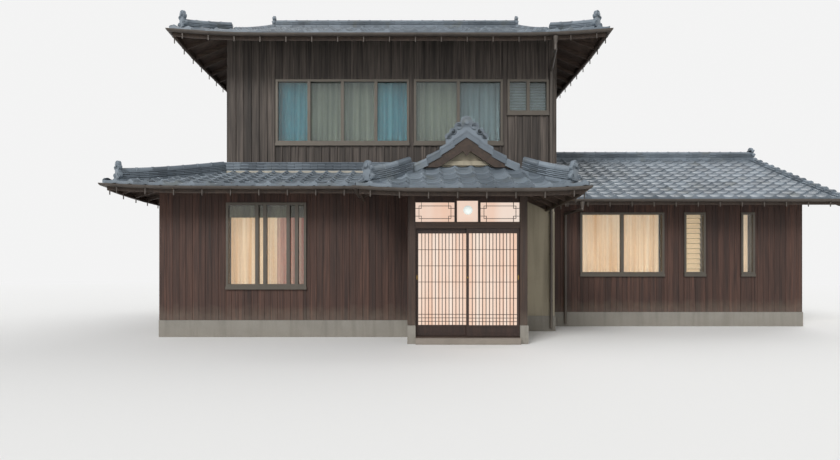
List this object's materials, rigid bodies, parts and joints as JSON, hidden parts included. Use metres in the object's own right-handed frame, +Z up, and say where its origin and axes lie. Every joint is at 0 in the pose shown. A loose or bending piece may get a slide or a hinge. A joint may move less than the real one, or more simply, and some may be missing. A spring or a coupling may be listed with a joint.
{
  "type": "detached machiya townhouse",
  "caption": "Two-storey timber townhouse with tiled hip-and-gable roofs, a pent roof, a gabled porch with sliding lattice doors, and a low wing.",
  "frame": {"origin": "middle of the porch's front post line, at ground level on the underside of the entrance slab", "axes": "+X along the street to the right as seen from it, +Y from the street towards the back, +Z up"},
  "size_m": [13.8453, 9.8506, 7.5912],
  "materials": {
    "concrete": "grey concrete, rough",
    "stone": "worn stone slab",
    "floor_boards": "planed boards",
    "dark_timber": "dark brown oiled timber",
    "door_wood": "dark brown lattice wood",
    "dark_boards": "dark red-brown boards",
    "old_boards": "weathered grey-brown boards with battens",
    "plaster": "beige plaster",
    "roof_tile": "blue-grey fired clay tile",
    "roof_timber": "rafters and roof boards",
    "bronze_frame": "anodised grey-bronze frames",
    "window_glass": "window glass with curtains behind",
    "lit_glass": "lit window glass",
    "lit_paper": "translucent panes lit from behind",
    "lamp_glass": "opal glass globe",
    "gutter_metal": "dark coated gutter"
  },
  "bodies": {
    "root": {"foundation": "concrete", "entrance_slab": "stone", "ground_floor": "floor_boards", "upper_floor": "floor_boards", "ground_front_walls": "dark_boards", "ground_window_walls": "dark_boards", "ground_side_walls": "dark_boards", "ground_rear_wall": "dark_boards", "porch_walls": "plaster", "porch_posts": "dark_timber", "door_frame": "dark_timber", "transom_lattice": "door_wood", "transom_panes": "lit_paper", "porch_lamp": "lamp_glass", "upper_beams": "dark_timber", "inner_posts": "dark_timber", "upper_front_bands": "old_boards", "upper_front_posts": "old_boards", "upper_side_walls": "old_boards", "upper_rear_wall": "old_boards", "upper_window_frames": "bronze_frame", "upper_glass": "window_glass", "ground_window_frames": "bronze_frame", "ground_glass": "lit_glass", "wing_front_walls": "dark_boards", "wing_window_walls": "dark_boards", "wing_end_wall": "dark_boards", "wing_rear_wall": "dark_boards", "main_roof_tiles": "roof_tile", "main_roof_deck": "roof_timber", "main_ridges": "roof_tile", "main_gable_walls": "plaster", "pent_roof_tiles": "roof_tile", "pent_roof_deck": "roof_timber", "pent_ridge": "roof_tile", "porch_roof_tiles": "roof_tile", "porch_roof_deck": "roof_timber", "porch_ridges": "roof_tile", "porch_gable_wall": "plaster", "wing_roof_tiles": "roof_tile", "wing_roof_deck": "roof_timber", "wing_ridge": "roof_tile", "bargeboards": "dark_timber", "fascia_boards": "dark_timber", "gutters": "gutter_metal"},
    "left_door": {"left_door": "door_wood", "left_door_pane": "lit_paper"},
    "right_door": {"right_door": "door_wood", "right_door_pane": "lit_paper"}
  },
  "joints": [
    {"name": "left_door_slide", "type": "slide", "parent": "root", "child": "left_door", "axis": [1, 0, 0], "range_m": [0, 0.8]},
    {"name": "right_door_slide", "type": "slide", "parent": "root", "child": "right_door", "axis": [-1, 0, 0], "range_m": [0, 0.8]}
  ]
}
